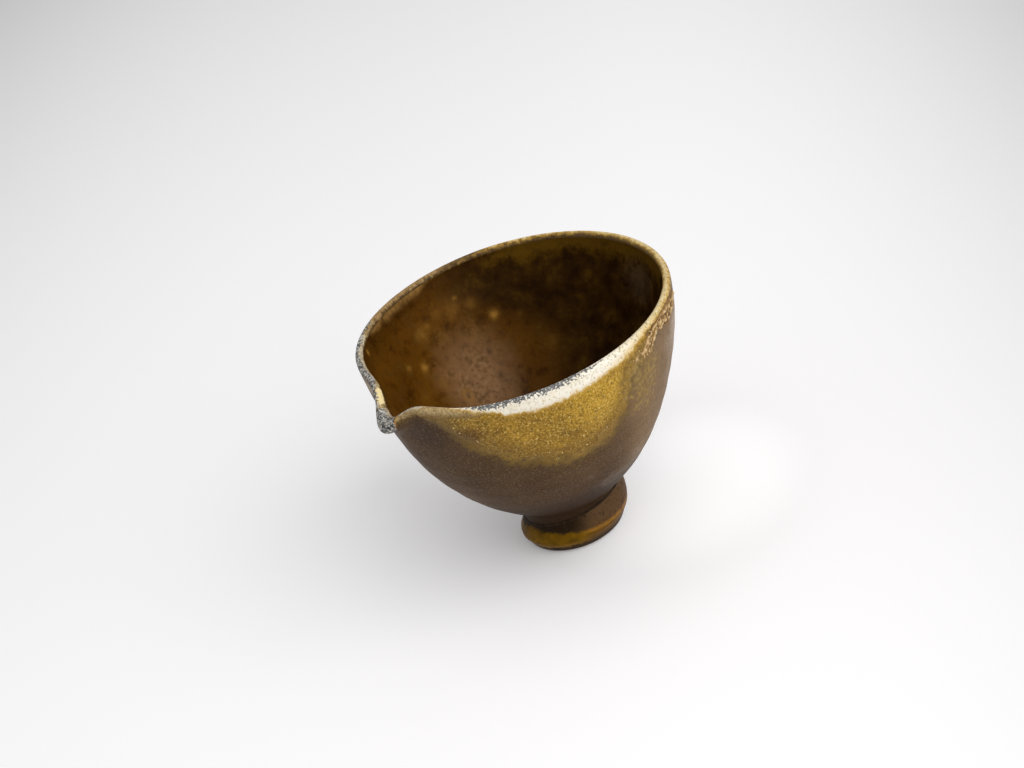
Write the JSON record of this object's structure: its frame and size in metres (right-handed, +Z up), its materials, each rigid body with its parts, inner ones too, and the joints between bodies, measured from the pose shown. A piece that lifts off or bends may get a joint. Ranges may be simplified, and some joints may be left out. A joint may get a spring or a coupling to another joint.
{
  "type": "tea pitcher",
  "caption": "Small thrown stoneware tea pitcher: an open bowl with a pulled pouring lip on a turned pedestal foot, with wood-ash glaze.",
  "frame": {"origin": "middle of the footprint box, on the plane of the foot ring", "axes": "+Z up out of the mouth, the pouring lip points along -Y, +X is to the right of someone who looks along +Y"},
  "size_m": [0.0894, 0.0928, 0.0694],
  "materials": {
    "bowl_clay": "satin",
    "foot_clay": "satin",
    "slip": "matte",
    "lining": "gloss",
    "ash_glaze": "gloss",
    "crust": "matte",
    "foot_glaze": "gloss"
  },
  "bodies": {
    "root": {"bowl": "bowl_clay", "pedestal_foot": "foot_clay", "joining_slip": "slip", "lining_glaze": "lining", "ash_glaze_run": "ash_glaze", "ash_crust": "crust", "foot_glaze_roll": "foot_glaze"}
  },
  "joints": []
}
